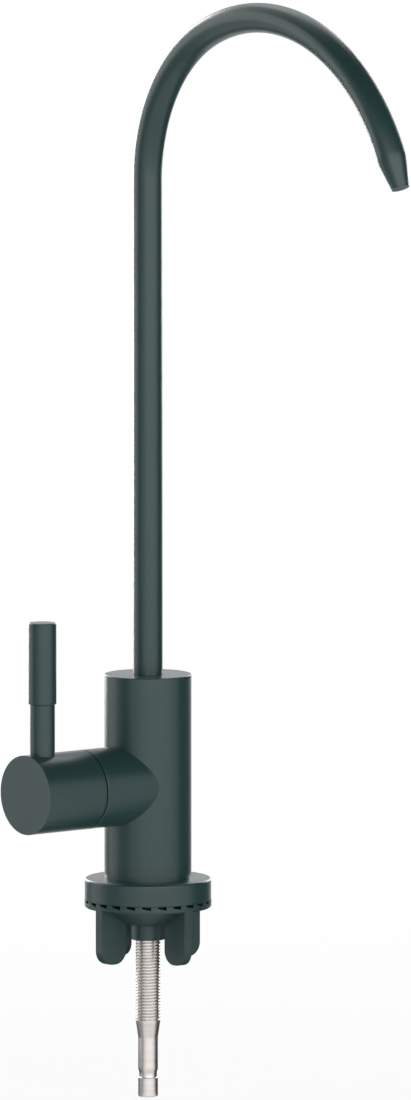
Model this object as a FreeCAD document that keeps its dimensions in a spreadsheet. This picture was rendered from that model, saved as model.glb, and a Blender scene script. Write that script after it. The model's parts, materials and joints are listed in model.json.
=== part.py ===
import FreeCAD, Part
import Sketcher
import math
import os

# Deck-mounted drinking-water tap.
# Origin: centre of the base flange's underside, on the deck plane. +Z is up.
# The spout points to -Y and the branch with its handle to -X.
# Millimetres and degrees.

Vector = FreeCAD.Vector
doc = FreeCAD.newDocument("WaterTap")

# Driving dimensions
sizes = {
    # casing
    "body_diameter": 28.0,
    "body_height": 65.9,
    "body_top_chamfer": 0.5,
    "foot_diameter": 24.0,
    "foot_depth": 5.1,
    "branch_diameter": 25.5,
    "branch_axis_height": 37.7,
    "branch_length": 26.5,
    "inlet_bore_diameter": 4.5,
    "inlet_wall": 2.25,
    "outlet_drill_diameter": 3.8,
    "outlet_drill_angle": 40.0,
    "outlet_drill_start": 1.0,
    "outlet_drill_entry": 2.0,
    # base flange and its gasket
    "flange_diameter": 40.7,
    "flange_height": 7.1,
    "flange_edge_radius": 0.8,
    "gasket_outer_diameter": 36.0,
    "gasket_width": 4.0,
    "gasket_thickness": 1.5,
    # threaded shank
    "thread_diameter": 8.0,
    "thread_pitch": 1.0,
    "thread_groove_depth": 0.5,
    "thread_groove_width": 0.75,
    "thread_length": 39.0,
    "shank_socket_depth": 14.0,
    "shank_bore_diameter": 4.3,
    "shank_hole_clearance": 0.3,
    "shank_o_ring_section": 1.4,
    "cone_length": 5.7,
    "stem_diameter": 6.35,
    "stem_length": 19.3,
    "stem_groove_rise": 6.2,
    "stem_groove_neck": 1.8,
    "stem_groove_taper": 0.9,
    "stem_groove_depth": 0.325,
    "stem_chamfer": 0.4,
    # spout
    "spout_diameter": 9.5,
    "spout_wall": 1.0,
    "arch_start_height": 233.0,
    "near_arc_radius": 53.4,
    "near_arc_turn": 66.3,
    "far_arc_radius": 68.2,
    "arch_turn": 155.3,
    "nozzle_length": 10.9,
    "nozzle_tip_diameter": 5.8,
    "nozzle_bore_diameter": 3.8,
    # swivel joint of the spout
    "spout_socket_depth": 18.0,
    "thrust_washer_thickness": 0.8,
    "thrust_washer_bore": 6.0,
    "spigot_bore_diameter": 5.0,
    "spigot_length": 13.2,
    "spigot_plug_length": 5.0,
    "spout_o_ring_section": 1.4,
    "spout_o_ring_lower_rise": 6.4,
    "spout_o_ring_upper_rise": 9.8,
    "snap_ring_rise": 2.8,
    "snap_ring_thickness": 1.2,
    "snap_ring_inner_diameter": 7.9,
    "snap_ring_outer_diameter": 11.0,
    "snap_ring_gap_angle": 40.0,
    # ceramic cartridge
    "chamber_diameter": 18.0,
    "mouth_gap": 0.3,
    "seat_seal_thickness": 1.6,
    "seat_seal_width": 1.2,
    "fixed_disc_thickness": 3.0,
    "moving_disc_thickness": 2.6,
    "disc_port_inner_radius": 2.0,
    "disc_port_outer_radius": 5.4,
    "disc_port_angle": 76.0,
    "driver_diameter": 8.8,
    "driver_height": 2.2,
    "tongue_width": 3.0,
    "tongue_length": 11.0,
    "tongue_depth": 1.2,
    "glide_ring_thickness": 1.0,
    "housing_cup_diameter": 16.4,
    "housing_cup_wall": 1.1,
    "housing_shoulder_thickness": 3.0,
    "housing_head_length": 3.5,
    "housing_neck_diameter": 10.4,
    "housing_neck_recess": 0.9,
    "housing_window_width": 5.0,
    "housing_window_height": 1.8,
    "cartridge_o_ring_section": 1.4,
    "cartridge_nut_diameter": 20.0,
    "cartridge_nut_recess": 0.5,
    "nut_slot_width": 2.5,
    "nut_slot_depth": 1.5,
    "spindle_diameter": 6.0,
    "spindle_o_ring_section": 1.0,
    "spindle_o_ring_inner_rise": 2.5,
    "spindle_o_ring_outer_rise": 5.5,
    "clip_thickness": 0.8,
    "clip_inner_diameter": 4.9,
    "clip_outer_diameter": 8.6,
    "clip_gap_angle": 50.0,
    "spindle_end_margin": 1.2,
    "spindle_square": 4.2,
    "spindle_reach": 9.6,
    # handle
    "seam_gap": 0.4,
    "hub_length": 23.5,
    "hub_ring_width": 2.7,
    "hub_spigot_diameter": 23.0,
    "hub_spigot_recess": 0.3,
    "hub_cavity_diameter": 21.0,
    "hub_cavity_depth": 3.1,
    "adapter_diameter": 13.0,
    "adapter_length": 8.5,
    "grub_screw_diameter": 4.0,
    "grub_screw_length": 8.0,
    "grub_screw_setback": 7.1,
    "grub_socket_across_corners": 2.3,
    "grub_socket_depth": 2.0,
    "lever_setback": 7.0,
    "lever_seat_depth": 0.85,
    "lever_rod_diameter": 8.0,
    "lever_tenon_diameter": 6.0,
    "lever_tenon_length": 6.0,
    "grip_rise": 28.75,
    "grip_diameter": 9.0,
    "grip_length": 26.3,
    "grip_chamfer": 0.5,
    "grip_core_diameter": 6.0,
    "grip_core_length": 21.0,
    # clamping washer and wing nut
    "washer_overhang": 0.05,
    "washer_thickness": 1.8,
    "tooth_count": 25,
    "tooth_notch_start_depth": 0.55,
    "tooth_notch_depth": 1.15,
    "tooth_notch_width": 2.9,
    "tooth_inner_radius": 16.0,
    "tooth_phase": 13.6,
    "nut_rim_thickness": 0.6,
    "nut_rim_chamfer": 0.45,
    "nut_bowl_diameter": 33.0,
    "nut_bowl_foot_diameter": 17.2,
    "nut_bowl_height": 5.2,
    "nut_bowl_radius": 15.0,
    "nut_boss_diameter": 10.7,
    "nut_boss_length": 5.3,
    "nut_wing_count": 4,
    "nut_wing_thickness": 3.0,
    "nut_wing_inner_radius": 10.2,
    "nut_wing_height": 17.4,
    "nut_wing_corner_radius": 4.5,
    # clearances
    "fitted_clearance": 0.03,
    "running_clearance": 0.08,
    "thread_clearance": 0.05,
    "groove_play": 0.32,
    "film": 0.02,
    "overrun": 1.0,
}

# How an outline numbers the ends of an edge, the centre of a circle and its own origin
EDGE_START = 1
EDGE_END = 2
CIRCLE_CENTRE = 3
SKETCH_ORIGIN = -1

# Directions, turns and counts
ALONG_X = Vector(1, 0, 0)
ALONG_Y = Vector(0, 1, 0)
ALONG_Z = Vector(0, 0, 1)
QUARTER_TURN = 90
HALF_TURN = 180
FULL_TURN = 360
HEXAGON_SIDES = 6

sheet = doc.addObject("Spreadsheet::Sheet", "sizes")
for row, (alias, number) in enumerate(sizes.items(), start=1):
    sheet.set(f"A{row}", alias)
    sheet.set(f"B{row}", str(number))
    sheet.setAlias(f"B{row}", alias)
reader = doc.addObject("App::FeaturePython", "formula_reader")
doc.recompute()

# Heights on the main axis
FOOT_BOTTOM = "(sizes.flange_height - sizes.foot_depth)"
BODY_TOP = "(sizes.flange_height + sizes.body_height)"
SOCKET_TOP = f"({FOOT_BOTTOM} + sizes.shank_socket_depth)"
SHANK_TOP = f"({SOCKET_TOP} - sizes.shank_o_ring_section - 2 * sizes.film)"
THREAD_END = "(-sizes.thread_length)"
CONE_END = f"({THREAD_END} - sizes.cone_length)"
STEM_END = f"({CONE_END} - sizes.stem_length)"
SPOUT_FLOOR = f"({BODY_TOP} - sizes.spout_socket_depth)"
SPIGOT_BOTTOM = f"({SPOUT_FLOOR} + sizes.thrust_washer_thickness + sizes.film)"
TUBE_START = f"({SPIGOT_BOTTOM} + sizes.spigot_length)"
WASHER_BOTTOM = "(-sizes.washer_thickness)"
NUT_RIM_BOTTOM = f"({WASHER_BOTTOM} - sizes.nut_rim_thickness)"

# Distances along the branch, outwards from the main axis
CHAMBER_FLOOR = "(sizes.inlet_bore_diameter / 2 + sizes.inlet_wall)"
FIXED_DISC_START = f"({CHAMBER_FLOOR} + sizes.seat_seal_thickness)"
MOVING_DISC_START = f"({FIXED_DISC_START} + sizes.fixed_disc_thickness + sizes.film)"
DRIVER_START = f"({MOVING_DISC_START} + sizes.moving_disc_thickness + sizes.film)"
GLIDE_RING_START = f"({DRIVER_START} + sizes.driver_height + sizes.film)"
HOUSING_SHOULDER = f"({GLIDE_RING_START} + sizes.glide_ring_thickness + sizes.film)"
HEAD_START = f"({HOUSING_SHOULDER} + sizes.housing_shoulder_thickness)"
HEAD_END = f"({HEAD_START} + sizes.housing_head_length)"
BRANCH_END = "sizes.branch_length"
NECK_END = f"({BRANCH_END} - sizes.housing_neck_recess)"
CLIP_CENTRE = f"({NECK_END} + sizes.clip_thickness / 2 + sizes.fitted_clearance)"
SPINDLE_SHAFT_END = f"({CLIP_CENTRE} + sizes.spindle_end_margin)"
HUB_START = f"({BRANCH_END} + sizes.seam_gap)"
HUB_END = f"({HUB_START} + sizes.hub_length)"
HUB_RING_END = f"({HUB_START} + sizes.hub_ring_width)"
CAVITY_END = f"({HUB_START} + sizes.hub_cavity_depth)"
ADAPTER_END = f"({CAVITY_END} + sizes.adapter_length)"
SQUARE_END = f"({HUB_START} + sizes.spindle_reach)"

# Radii that more than one piece shares
BODY_RADIUS = "(sizes.body_diameter / 2)"
BRANCH_RADIUS = "(sizes.branch_diameter / 2)"
THREAD_RADIUS = "(sizes.thread_diameter / 2)"
SHANK_BORE_RADIUS = "(sizes.shank_bore_diameter / 2)"
STEM_RADIUS = "(sizes.stem_diameter / 2)"
SPOUT_RADIUS = "(sizes.spout_diameter / 2)"
SPOUT_BORE_RADIUS = f"({SPOUT_RADIUS} - sizes.spout_wall)"
SPOUT_SOCKET_RADIUS = f"({SPOUT_RADIUS} + sizes.running_clearance)"
CHAMBER_RADIUS = "(sizes.chamber_diameter / 2)"
CUP_BORE_RADIUS = "(sizes.housing_cup_diameter / 2 - sizes.housing_cup_wall)"
DISC_RADIUS = f"({CUP_BORE_RADIUS} - sizes.running_clearance)"
SPINDLE_RADIUS = "(sizes.spindle_diameter / 2)"
SPINDLE_BORE_RADIUS = f"({SPINDLE_RADIUS} + sizes.running_clearance)"
CARTRIDGE_NUT_RADIUS = "(sizes.cartridge_nut_diameter / 2)"
GASKET_RADIUS = "(sizes.gasket_outer_diameter / 2)"
GASKET_BORE_RADIUS = f"({GASKET_RADIUS} - sizes.gasket_width)"
WASHER_RADIUS = "(sizes.flange_diameter / 2 + sizes.washer_overhang)"
GRUB_SCREW_RADIUS = "(sizes.grub_screw_diameter / 2)"
GRUB_SCREW_OFFSET = f"({HUB_START} + sizes.grub_screw_setback)"

# Lever and grip heights
LEVER_OFFSET = f"({HUB_END} - sizes.lever_setback)"
LEVER_SEAT = f"(sizes.branch_axis_height + {BRANCH_RADIUS} - sizes.lever_seat_depth)"
LEVER_TENON_END = f"({LEVER_SEAT} - sizes.lever_tenon_length)"
GRIP_BOTTOM = "(sizes.branch_axis_height + sizes.grip_rise)"
GRIP_TOP = f"({GRIP_BOTTOM} + sizes.grip_length)"
GRIP_CORE_TOP = f"({GRIP_BOTTOM} + sizes.grip_core_length)"


def value(formula):
    """The number that a formula on the driving dimensions gives."""
    return float(reader.evalExpression(formula))


def drive(feature, **formulas):
    """Binds properties of a feature to formulas."""
    for name, formula in formulas.items():
        feature.setExpression(name, formula)
    return feature


def place(feature, across="0", along="0", height="0"):
    """Binds a feature's place."""
    feature.setExpression("Placement.Base.x", across)
    feature.setExpression("Placement.Base.y", along)
    feature.setExpression("Placement.Base.z", height)
    return feature


def turn_by(feature, axis, angle):
    """Turns a feature about an axis by an angle bound to a formula."""
    feature.Placement.Rotation = FreeCAD.Rotation(axis, value(angle))
    feature.setExpression("Placement.Rotation.Angle", angle)
    return feature


def on_branch(feature, distance="0"):
    """Lays a piece that was modelled upright along the branch, its top outwards."""
    feature.Placement = FreeCAD.Placement(Vector(), FreeCAD.Rotation(ALONG_Y, -QUARTER_TURN))
    return place(feature, across=f"-{distance}", height="sizes.branch_axis_height")


def outline(body, plane, corners, arcs=None, closed=True, name="outline"):
    """A sketch through corners, each a pair of formulas.

    arcs holds the radius formula of each edge that is an arc, by the number of the corner
    where it starts. Every arc turns to the left of the way that the outline runs.
    """
    arcs = arcs or {}
    sketch = body.newObject("Sketcher::SketchObject", f"{body.Name}_{name}")
    base_plane = next(part for part in body.Origin.OriginFeatures if part.Role == plane)
    sketch.AttachmentSupport = [(base_plane, "")]
    sketch.MapMode = "FlatFace"
    points = [Vector(value(x), value(y), 0) for x, y in corners]
    edge_count = len(points) if closed else len(points) - 1
    for start in range(edge_count):
        first = points[start]
        last = points[(start + 1) % len(points)]
        if start in arcs:
            radius = value(arcs[start])
            chord = last - first
            inward = Vector(-chord.y, chord.x, 0).normalize()
            half_chord = chord.Length / 2
            centre = (first + last) / 2 + inward * math.sqrt(radius ** 2 - half_chord ** 2)
            circle = Part.Circle(centre, ALONG_Z, radius)
            begin = math.atan2(first.y - centre.y, first.x - centre.x)
            end = math.atan2(last.y - centre.y, last.x - centre.x)
            sketch.addGeometry(Part.ArcOfCircle(circle, begin, end), False)
            bound = sketch.addConstraint(Sketcher.Constraint("Radius", start, radius))
            sketch.setExpression(f"Constraints[{bound}]", arcs[start])
        else:
            sketch.addGeometry(Part.LineSegment(first, last), False)
    for edge in range(edge_count if closed else edge_count - 1):
        after = (edge + 1) % edge_count
        sketch.addConstraint(Sketcher.Constraint("Coincident", edge, EDGE_END, after, EDGE_START))
    for number, (x, y) in enumerate(corners):
        edge, point = (number, EDGE_START) if number < edge_count else (number - 1, EDGE_END)
        for kind, formula in (("DistanceX", x), ("DistanceY", y)):
            constraint = Sketcher.Constraint(kind, SKETCH_ORIGIN, EDGE_START, edge, point, value(formula))
            bound = sketch.addConstraint(constraint)
            sketch.setExpression(f"Constraints[{bound}]", formula)
    return sketch


def turned(name, corners, arcs=None, angle=f"{FULL_TURN}"):
    """A piece turned about its own Z axis, from corners as (radius, height)."""
    body = doc.addObject("PartDesign::Body", name)
    turn = body.newObject("PartDesign::Revolution", f"{name}_turn")
    turn.Profile = outline(body, "XZ_Plane", corners, arcs)
    turn.ReferenceAxis = (turn.Profile[0], ["V_Axis"])
    turn.setExpression("Angle", angle)
    body.Tip = turn
    return body


def ring(name, inner, outer, low, high, angle=f"{FULL_TURN}"):
    """A turned ring of square section."""
    return turned(name, [(inner, low), (outer, low), (outer, high), (inner, high)], angle=angle)


def o_ring_centre(bore_radius, section):
    """The centre radius of a ring that seals against a bore."""
    return f"({bore_radius} - sizes.film - {section} / 2)"


def o_ring(name, centre_radius, section, height="0"):
    """A rubber ring of round section."""
    torus = doc.addObject("Part::Torus", name)
    drive(torus, Radius1=centre_radius, Radius2=f"{section} / 2")
    return place(torus, height=height)


def rod(name, radius, low, high, across="0", along="0"):
    """An upright cylinder between two heights."""
    cylinder = doc.addObject("Part::Cylinder", name)
    drive(cylinder, Radius=radius, Height=f"{high} - {low}")
    return place(cylinder, across, along, low)


def block(name, length, width, low, high):
    """An upright box, centred on its own axis."""
    box = doc.addObject("Part::Box", name)
    drive(box, Length=length, Width=width, Height=f"{high} - {low}")
    return place(box, f"-({length}) / 2", f"-({width}) / 2", low)


def joined(name, pieces):
    """Several solids made one."""
    fuse = doc.addObject("Part::MultiFuse", name)
    fuse.Shapes = pieces
    return fuse


def cut(name, blank, tool):
    """A solid with another taken out of it."""
    result = doc.addObject("Part::Cut", name)
    result.Base = blank
    result.Tool = tool
    return result


def groove(outer, base, centre, width):
    """Corners of a square groove in a turned piece, from its lower lip to its upper one."""
    low = f"{centre} - {width} / 2"
    high = f"{centre} + {width} / 2"
    return [(outer, low), (base, low), (base, high), (outer, high)]


def o_ring_groove(outer, bore_radius, section, centre):
    """A groove that holds a sealing ring with a little room each side."""
    base = f"({o_ring_centre(bore_radius, section)} - {section} / 2 - sizes.film)"
    return groove(outer, base, centre, f"({section} + sizes.groove_play)")


def disc_ports(name, low, high, turn):
    """Two sector-shaped ports, opposite each other, centred on the direction turn."""
    sectors = []
    for side in (0, HALF_TURN):
        sector = doc.addObject("Part::Cylinder", f"{name}_sector_{side}")
        drive(sector, Radius="sizes.disc_port_outer_radius", Angle="sizes.disc_port_angle")
        drive(sector, Height=f"{high} - {low} + 2 * sizes.overrun")
        place(sector, height=f"{low} - sizes.overrun")
        turn_by(sector, ALONG_Z, f"{turn + side} - sizes.disc_port_angle / 2")
        sectors.append(sector)
    core = rod(f"{name}_core", "sizes.disc_port_inner_radius",
               f"({low} - 2 * sizes.overrun)", f"({high} + 2 * sizes.overrun)")
    return cut(name, joined(f"{name}_sectors", sectors), core)


# Casing: upright body with its foot, the branch, and the waterways

def make_valve_body():
    foot_radius = "sizes.foot_diameter / 2"
    column = turned("valve_body_column", [
        ("0", FOOT_BOTTOM),
        (foot_radius, FOOT_BOTTOM),
        (foot_radius, "sizes.flange_height"),
        (BODY_RADIUS, "sizes.flange_height"),
        (BODY_RADIUS, f"{BODY_TOP} - sizes.body_top_chamfer"),
        (f"{BODY_RADIUS} - sizes.body_top_chamfer", BODY_TOP),
        ("0", BODY_TOP),
    ])
    branch = doc.addObject("Part::Cylinder", "valve_body_branch")
    drive(branch, Radius=BRANCH_RADIUS, Height=BRANCH_END)
    on_branch(branch)

    socket_radius = f"{THREAD_RADIUS} + sizes.thread_clearance"
    inlet_radius = "sizes.inlet_bore_diameter / 2"
    inlet_top = f"sizes.branch_axis_height + {inlet_radius}"
    below_foot = f"{FOOT_BOTTOM} - sizes.overrun"
    inlet = turned("inlet_bore", [
        ("0", below_foot),
        (socket_radius, below_foot),
        (socket_radius, SOCKET_TOP),
        (inlet_radius, SOCKET_TOP),
        (inlet_radius, inlet_top),
        ("0", inlet_top),
    ])

    above_top = f"{BODY_TOP} + sizes.overrun"
    ring_groove = groove(SPOUT_SOCKET_RADIUS,
                         "sizes.snap_ring_outer_diameter / 2 + sizes.running_clearance",
                         f"({SPIGOT_BOTTOM} + sizes.snap_ring_rise)",
                         "(sizes.snap_ring_thickness + sizes.groove_play)")
    spout_socket = turned("spout_socket", [
        ("0", SPOUT_FLOOR),
        (SPOUT_SOCKET_RADIUS, SPOUT_FLOOR),
        *ring_groove,
        (SPOUT_SOCKET_RADIUS, above_top),
        ("0", above_top),
    ])

    beyond_mouth = f"{BRANCH_END} + sizes.overrun"
    chamber = on_branch(turned("valve_chamber", [
        ("0", "0"),
        (inlet_radius, "0"),
        (inlet_radius, CHAMBER_FLOOR),
        (CHAMBER_RADIUS, CHAMBER_FLOOR),
        (CHAMBER_RADIUS, HEAD_END),
        (CARTRIDGE_NUT_RADIUS, HEAD_END),
        (CARTRIDGE_NUT_RADIUS, beyond_mouth),
        ("0", beyond_mouth),
    ]))

    drill_top = f"({SPOUT_FLOOR} + sizes.outlet_drill_start)"
    drill_bottom = f"(sizes.branch_axis_height + {CHAMBER_RADIUS} - sizes.outlet_drill_entry)"
    outlet = doc.addObject("Part::Cylinder", "outlet_drilling")
    drive(outlet, Radius="sizes.outlet_drill_diameter / 2",
          Height=f"({drill_top} - {drill_bottom}) / cos(sizes.outlet_drill_angle)")
    place(outlet, height=drill_top)
    turn_by(outlet, ALONG_Y, f"{HALF_TURN} + sizes.outlet_drill_angle")

    waterways = joined("waterways", [inlet, spout_socket, chamber, outlet])
    return cut("valve_body", joined("valve_body_blank", [column, branch]), waterways)


def make_base_flange():
    rim = "sizes.flange_diameter / 2"
    hole = f"{THREAD_RADIUS} + sizes.shank_hole_clearance"
    seat = "sizes.foot_diameter / 2 + sizes.fitted_clearance"
    recess_inner = f"{GASKET_BORE_RADIUS} - sizes.fitted_clearance"
    recess_outer = f"{GASKET_RADIUS} + sizes.fitted_clearance"
    corners = [
        (hole, "0"),
        (recess_inner, "0"),
        (recess_inner, "sizes.gasket_thickness"),
        (recess_outer, "sizes.gasket_thickness"),
        (recess_outer, "0"),
        (rim, "0"),
        (rim, "sizes.flange_height - sizes.flange_edge_radius"),
        (f"{rim} - sizes.flange_edge_radius", "sizes.flange_height"),
        (seat, "sizes.flange_height"),
        (seat, FOOT_BOTTOM),
        (hole, FOOT_BOTTOM),
    ]
    return turned("base_flange", corners, arcs={6: "sizes.flange_edge_radius"})


def make_flange_gasket():
    return ring("flange_gasket", GASKET_BORE_RADIUS, GASKET_RADIUS, "0", "sizes.gasket_thickness")


# Shank: threaded part, cone and plain grooved stem

def make_shank():
    groove_low = f"({STEM_END} + sizes.stem_groove_rise)"
    neck_top = f"({groove_low} + sizes.stem_groove_neck)"
    groove_radius = f"{STEM_RADIUS} - sizes.stem_groove_depth"
    shank = turned("shank", [
        (SHANK_BORE_RADIUS, STEM_END),
        (f"{STEM_RADIUS} - sizes.stem_chamfer", STEM_END),
        (STEM_RADIUS, f"{STEM_END} + sizes.stem_chamfer"),
        (STEM_RADIUS, groove_low),
        (groove_radius, groove_low),
        (groove_radius, neck_top),
        (STEM_RADIUS, f"{neck_top} + sizes.stem_groove_taper"),
        (STEM_RADIUS, CONE_END),
        (THREAD_RADIUS, THREAD_END),
        (THREAD_RADIUS, SHANK_TOP),
        (SHANK_BORE_RADIUS, SHANK_TOP),
    ])
    # The thread is drawn as parallel V grooves, one for each turn
    first_turn = f"({THREAD_END} + sizes.thread_pitch)"
    root = f"{THREAD_RADIUS} - sizes.thread_groove_depth"
    outside = f"{THREAD_RADIUS} + sizes.thread_groove_depth"
    turn = shank.newObject("PartDesign::Groove", "thread_turn")
    turn.Profile = outline(shank, "XZ_Plane", [
        (root, first_turn),
        (outside, f"{first_turn} - sizes.thread_groove_width"),
        (outside, f"{first_turn} + sizes.thread_groove_width"),
    ], name="thread_outline")
    turn.ReferenceAxis = (turn.Profile[0], ["V_Axis"])
    turn.Angle = FULL_TURN
    shank.Tip = turn
    doc.recompute()
    turns = f"floor(({SHANK_TOP} - {THREAD_END}) / sizes.thread_pitch - 1)"
    thread = shank.newObject("PartDesign::LinearPattern", "thread")
    thread.Originals = [turn]
    upright = next(part for part in shank.Origin.OriginFeatures if part.Role == "Z_Axis")
    thread.Direction = (upright, [""])
    drive(thread, Occurrences=turns, Length=f"({turns} - 1) * sizes.thread_pitch")
    shank.Tip = thread
    return shank


def make_shank_o_ring():
    return o_ring("shank_o_ring", f"({SHANK_BORE_RADIUS} + {THREAD_RADIUS}) / 2",
                  "sizes.shank_o_ring_section", f"({SHANK_TOP} + {SOCKET_TOP}) / 2")


# Spout: tube with its gooseneck arch, nozzle and swivel end

def make_spout_tube():
    near_centre = "sizes.near_arc_radius"
    radius_step = "(sizes.near_arc_radius - sizes.far_arc_radius)"
    far_centre_reach = f"({near_centre} - {radius_step} * cos(sizes.near_arc_turn))"
    far_centre_height = f"(sizes.arch_start_height + {radius_step} * sin(sizes.near_arc_turn))"
    meeting_reach = "(sizes.near_arc_radius * (1 - cos(sizes.near_arc_turn)))"
    meeting_height = "(sizes.arch_start_height + sizes.near_arc_radius * sin(sizes.near_arc_turn))"
    nozzle_reach = f"({far_centre_reach} - sizes.far_arc_radius * cos(sizes.arch_turn))"
    nozzle_height = f"({far_centre_height} + sizes.far_arc_radius * sin(sizes.arch_turn))"

    tube = doc.addObject("PartDesign::Body", "spout_pipe")
    path = outline(tube, "YZ_Plane", [
        ("0", TUBE_START),
        ("0", "sizes.arch_start_height"),
        (f"-{meeting_reach}", meeting_height),
        (f"-{nozzle_reach}", nozzle_height),
    ], arcs={1: "sizes.near_arc_radius", 2: "sizes.far_arc_radius"}, closed=False, name="path")
    section = tube.newObject("Sketcher::SketchObject", "spout_section")
    level = next(part for part in tube.Origin.OriginFeatures if part.Role == "XY_Plane")
    section.AttachmentSupport = [(level, "")]
    section.MapMode = "FlatFace"
    section.setExpression("AttachmentOffset.Base.z", TUBE_START)
    for number, radius in enumerate((SPOUT_RADIUS, SPOUT_BORE_RADIUS)):
        section.addGeometry(Part.Circle(Vector(), ALONG_Z, value(radius)), False)
        centred = Sketcher.Constraint("Coincident", number, CIRCLE_CENTRE, SKETCH_ORIGIN, EDGE_START)
        section.addConstraint(centred)
        bound = section.addConstraint(Sketcher.Constraint("Radius", number, value(radius)))
        section.setExpression(f"Constraints[{bound}]", radius)
    doc.recompute()
    pipe = tube.newObject("PartDesign::AdditivePipe", "spout_sweep")
    pipe.Profile = section
    pipe.Spine = (path, ["Edge1", "Edge2", "Edge3"])
    tube.Tip = pipe

    cones = []
    for name, start, end in (
            ("nozzle_outside", SPOUT_RADIUS, "sizes.nozzle_tip_diameter / 2"),
            ("nozzle_bore", SPOUT_BORE_RADIUS, "sizes.nozzle_bore_diameter / 2")):
        cone = doc.addObject("Part::Cone", name)
        drive(cone, Radius1=start, Radius2=end, Height="sizes.nozzle_length")
        place(cone, along=f"-{nozzle_reach}", height=nozzle_height)
        cones.append(turn_by(cone, ALONG_X, "sizes.arch_turn"))
    return joined("spout_tube", [tube, cut("nozzle", *cones)])


def make_spout_spigot():
    bore = "sizes.spigot_bore_diameter / 2"
    plug = f"{SPOUT_BORE_RADIUS} - sizes.fitted_clearance"
    plug_top = f"{TUBE_START} + sizes.spigot_plug_length"
    ring_base = "sizes.snap_ring_inner_diameter / 2 - sizes.fitted_clearance"
    ring_width = "(sizes.snap_ring_thickness + 2 * sizes.fitted_clearance)"
    corners = [(bore, SPIGOT_BOTTOM), (SPOUT_RADIUS, SPIGOT_BOTTOM)]
    corners += groove(SPOUT_RADIUS, ring_base, f"({SPIGOT_BOTTOM} + sizes.snap_ring_rise)", ring_width)
    for rise in ("sizes.spout_o_ring_lower_rise", "sizes.spout_o_ring_upper_rise"):
        corners += o_ring_groove(SPOUT_RADIUS, SPOUT_SOCKET_RADIUS, "sizes.spout_o_ring_section",
                                 f"({SPIGOT_BOTTOM} + {rise})")
    corners += [(SPOUT_RADIUS, TUBE_START), (plug, TUBE_START), (plug, plug_top), (bore, plug_top)]
    return turned("spout_spigot", corners)


def make_spout_o_rings():
    centre = o_ring_centre(SPOUT_SOCKET_RADIUS, "sizes.spout_o_ring_section")
    return [o_ring(f"spout_o_ring_{place_name}", centre, "sizes.spout_o_ring_section",
                   f"{SPIGOT_BOTTOM} + sizes.spout_o_ring_{place_name}_rise")
            for place_name in ("lower", "upper")]


def make_spout_snap_ring():
    middle = f"{SPIGOT_BOTTOM} + sizes.snap_ring_rise"
    return ring("spout_snap_ring", "sizes.snap_ring_inner_diameter / 2", "sizes.snap_ring_outer_diameter / 2",
                f"{middle} - sizes.snap_ring_thickness / 2", f"{middle} + sizes.snap_ring_thickness / 2",
                angle=f"{FULL_TURN} - sizes.snap_ring_gap_angle")


def make_spout_thrust_washer():
    return ring("spout_thrust_washer", "sizes.thrust_washer_bore / 2",
                f"{SPOUT_SOCKET_RADIUS} - sizes.fitted_clearance",
                SPOUT_FLOOR, f"({SPOUT_FLOOR} + sizes.thrust_washer_thickness)")


# Ceramic cartridge

def make_cartridge_housing():
    cup_outer = "sizes.housing_cup_diameter / 2"
    head = f"{CHAMBER_RADIUS} - sizes.fitted_clearance"
    neck = "sizes.housing_neck_diameter / 2"
    mouth = f"{CHAMBER_FLOOR} + sizes.mouth_gap"
    blank = turned("cartridge_housing_blank", [
        (CUP_BORE_RADIUS, mouth),
        (cup_outer, mouth),
        (cup_outer, HEAD_START),
        (head, HEAD_START),
        *o_ring_groove(head, CHAMBER_RADIUS, "sizes.cartridge_o_ring_section",
                       f"(({HEAD_START} + {HEAD_END}) / 2)"),
        (head, HEAD_END),
        (neck, HEAD_END),
        (neck, NECK_END),
        (SPINDLE_BORE_RADIUS, NECK_END),
        (SPINDLE_BORE_RADIUS, HOUSING_SHOULDER),
        (CUP_BORE_RADIUS, HOUSING_SHOULDER),
    ])
    windows = block("housing_windows", "sizes.housing_window_width", "sizes.chamber_diameter",
                    DRIVER_START, f"({DRIVER_START} + sizes.housing_window_height)")
    return on_branch(cut("cartridge_housing", blank, windows))


def make_cartridge_o_ring():
    section = "sizes.cartridge_o_ring_section"
    rubber = o_ring("cartridge_o_ring", o_ring_centre(CHAMBER_RADIUS, section), section)
    return on_branch(rubber, f"(({HEAD_START} + {HEAD_END}) / 2)")


def make_cartridge_nut():
    bore = "sizes.housing_neck_diameter / 2 + sizes.running_clearance"
    rim = f"{CARTRIDGE_NUT_RADIUS} - sizes.thread_clearance"
    end = f"({BRANCH_END} - sizes.cartridge_nut_recess)"
    blank = ring("cartridge_nut_blank", bore, rim, HEAD_END, end)
    slot = block("cartridge_nut_slot", "sizes.nut_slot_width", "sizes.cartridge_nut_diameter + sizes.overrun",
                 f"({end} - sizes.nut_slot_depth)", f"({end} + sizes.overrun)")
    return on_branch(cut("cartridge_nut", blank, slot))


def make_seat_seal():
    outer = DISC_RADIUS
    return on_branch(ring("seat_seal", f"{outer} - sizes.seat_seal_width", outer,
                          CHAMBER_FLOOR, FIXED_DISC_START))


def make_fixed_disc():
    end = f"({FIXED_DISC_START} + sizes.fixed_disc_thickness)"
    blank = rod("fixed_disc_blank", DISC_RADIUS, FIXED_DISC_START, end)
    ports = disc_ports("fixed_disc_ports", FIXED_DISC_START, end, QUARTER_TURN)
    return on_branch(cut("fixed_disc", blank, ports))


def make_moving_disc():
    end = f"({MOVING_DISC_START} + sizes.moving_disc_thickness)"
    blank = rod("moving_disc_blank", DISC_RADIUS, MOVING_DISC_START, end)
    ports = disc_ports("moving_disc_ports", MOVING_DISC_START, end, 0)
    slot = block("moving_disc_slot", "(sizes.tongue_width + 2 * sizes.fitted_clearance)",
                 "sizes.chamber_diameter",
                 f"({end} - sizes.tongue_depth)", f"({end} + sizes.overrun)")
    return on_branch(cut("moving_disc", blank, joined("moving_disc_openings", [ports, slot])))


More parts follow.
